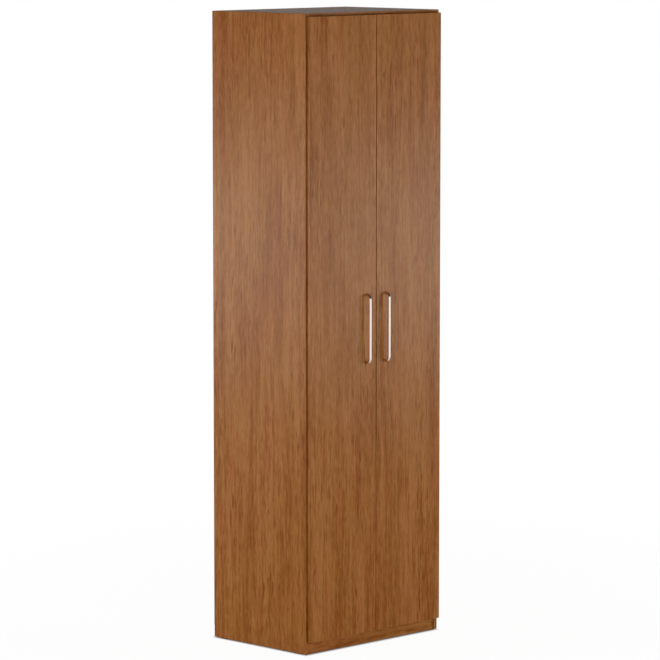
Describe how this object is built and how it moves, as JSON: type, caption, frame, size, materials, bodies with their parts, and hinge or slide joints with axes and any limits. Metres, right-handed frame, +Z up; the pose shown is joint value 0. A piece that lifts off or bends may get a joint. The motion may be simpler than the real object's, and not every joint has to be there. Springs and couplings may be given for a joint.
{
  "type": "wardrobe",
  "caption": "Tall narrow laminated-board wardrobe with a pair of overlay doors on concealed cup hinges, bow handles, a hat shelf and a hanging rail on a recessed plinth.",
  "frame": {"origin": "on the floor under the middle of the overall box", "axes": "+X to the right of a person facing the doors, +Y to the back, +Z up"},
  "size_m": [0.708, 0.5396, 2.38],
  "materials": {
    "brown_laminate": "satin wood-grain laminate",
    "brown_hardboard": "matt lacquered hardboard",
    "bright_chrome": "polished",
    "hinge_nickel": "nickel-plated pressed steel",
    "zinc_steel": "zinc-plated",
    "brown_plastic": "matt"
  },
  "bodies": {
    "carcass": {"left_side_panel": "brown_laminate", "right_side_panel": "brown_laminate", "top_panel": "brown_laminate", "bottom_panel": "brown_laminate", "plinth_board": "brown_laminate", "rear_plinth_board": "brown_laminate", "hat_shelf": "brown_laminate", "back_panel": "brown_hardboard", "hanging_rail": "bright_chrome", "left_rail_socket": "bright_chrome", "right_rail_socket": "bright_chrome", "left_front_shelf_pin": "zinc_steel", "left_rear_shelf_pin": "zinc_steel", "right_front_shelf_pin": "zinc_steel", "right_rear_shelf_pin": "zinc_steel", "left_front_glide": "brown_plastic", "left_rear_glide": "brown_plastic", "right_front_glide": "brown_plastic", "right_rear_glide": "brown_plastic", "left_hinge_plate_1": "hinge_nickel", "left_hinge_plate_2": "hinge_nickel", "left_hinge_plate_3": "hinge_nickel", "left_hinge_plate_4": "hinge_nickel", "right_hinge_plate_1": "hinge_nickel", "right_hinge_plate_2": "hinge_nickel", "right_hinge_plate_3": "hinge_nickel", "right_hinge_plate_4": "hinge_nickel", "left_hinge_arm_1": "hinge_nickel", "left_hinge_arm_2": "hinge_nickel", "left_hinge_arm_3": "hinge_nickel", "left_hinge_arm_4": "hinge_nickel", "right_hinge_arm_1": "hinge_nickel", "right_hinge_arm_2": "hinge_nickel", "right_hinge_arm_3": "hinge_nickel", "right_hinge_arm_4": "hinge_nickel"},
    "left_hinge_links": {"left_hinge_link_1": "hinge_nickel", "left_hinge_link_2": "hinge_nickel", "left_hinge_link_3": "hinge_nickel", "left_hinge_link_4": "hinge_nickel"},
    "right_hinge_links": {"right_hinge_link_1": "hinge_nickel", "right_hinge_link_2": "hinge_nickel", "right_hinge_link_3": "hinge_nickel", "right_hinge_link_4": "hinge_nickel"},
    "left_door": {"left_door": "brown_laminate", "left_handle": "bright_chrome", "left_upper_handle_screw": "zinc_steel", "left_lower_handle_screw": "zinc_steel", "left_hinge_cup_1": "hinge_nickel", "left_hinge_cup_2": "hinge_nickel", "left_hinge_cup_3": "hinge_nickel", "left_hinge_cup_4": "hinge_nickel"},
    "right_door": {"right_door": "brown_laminate", "right_handle": "bright_chrome", "right_upper_handle_screw": "zinc_steel", "right_lower_handle_screw": "zinc_steel", "right_hinge_cup_1": "hinge_nickel", "right_hinge_cup_2": "hinge_nickel", "right_hinge_cup_3": "hinge_nickel", "right_hinge_cup_4": "hinge_nickel"}
  },
  "joints": [
    {"name": "left_hinge_links_turn", "type": "hinge", "parent": "carcass", "child": "left_hinge_links", "pos_m": [-0.3196, -0.2305, 1.209], "axis": [0, 0, 1], "range_deg": [0, 26.3]},
    {"name": "left_door_swing", "type": "hinge", "parent": "left_hinge_links", "child": "left_door", "pos_m": [-0.3395, -0.2341, 1.209], "axis": [0, 0, -1], "range_deg": [0, 131.25]},
    {"name": "right_hinge_links_turn", "type": "hinge", "parent": "carcass", "child": "right_hinge_links", "pos_m": [0.3196, -0.2305, 1.209], "axis": [0, 0, -1], "range_deg": [0, 26.3]},
    {"name": "right_door_swing", "type": "hinge", "parent": "right_hinge_links", "child": "right_door", "pos_m": [0.3395, -0.2341, 1.209], "axis": [0, 0, 1], "range_deg": [0, 131.25]}
  ],
  "couplings": [
    {"joint": "left_hinge_links_turn", "follows": "left_door_swing", "ratio": 0.2},
    {"joint": "right_hinge_links_turn", "follows": "right_door_swing", "ratio": 0.2}
  ]
}
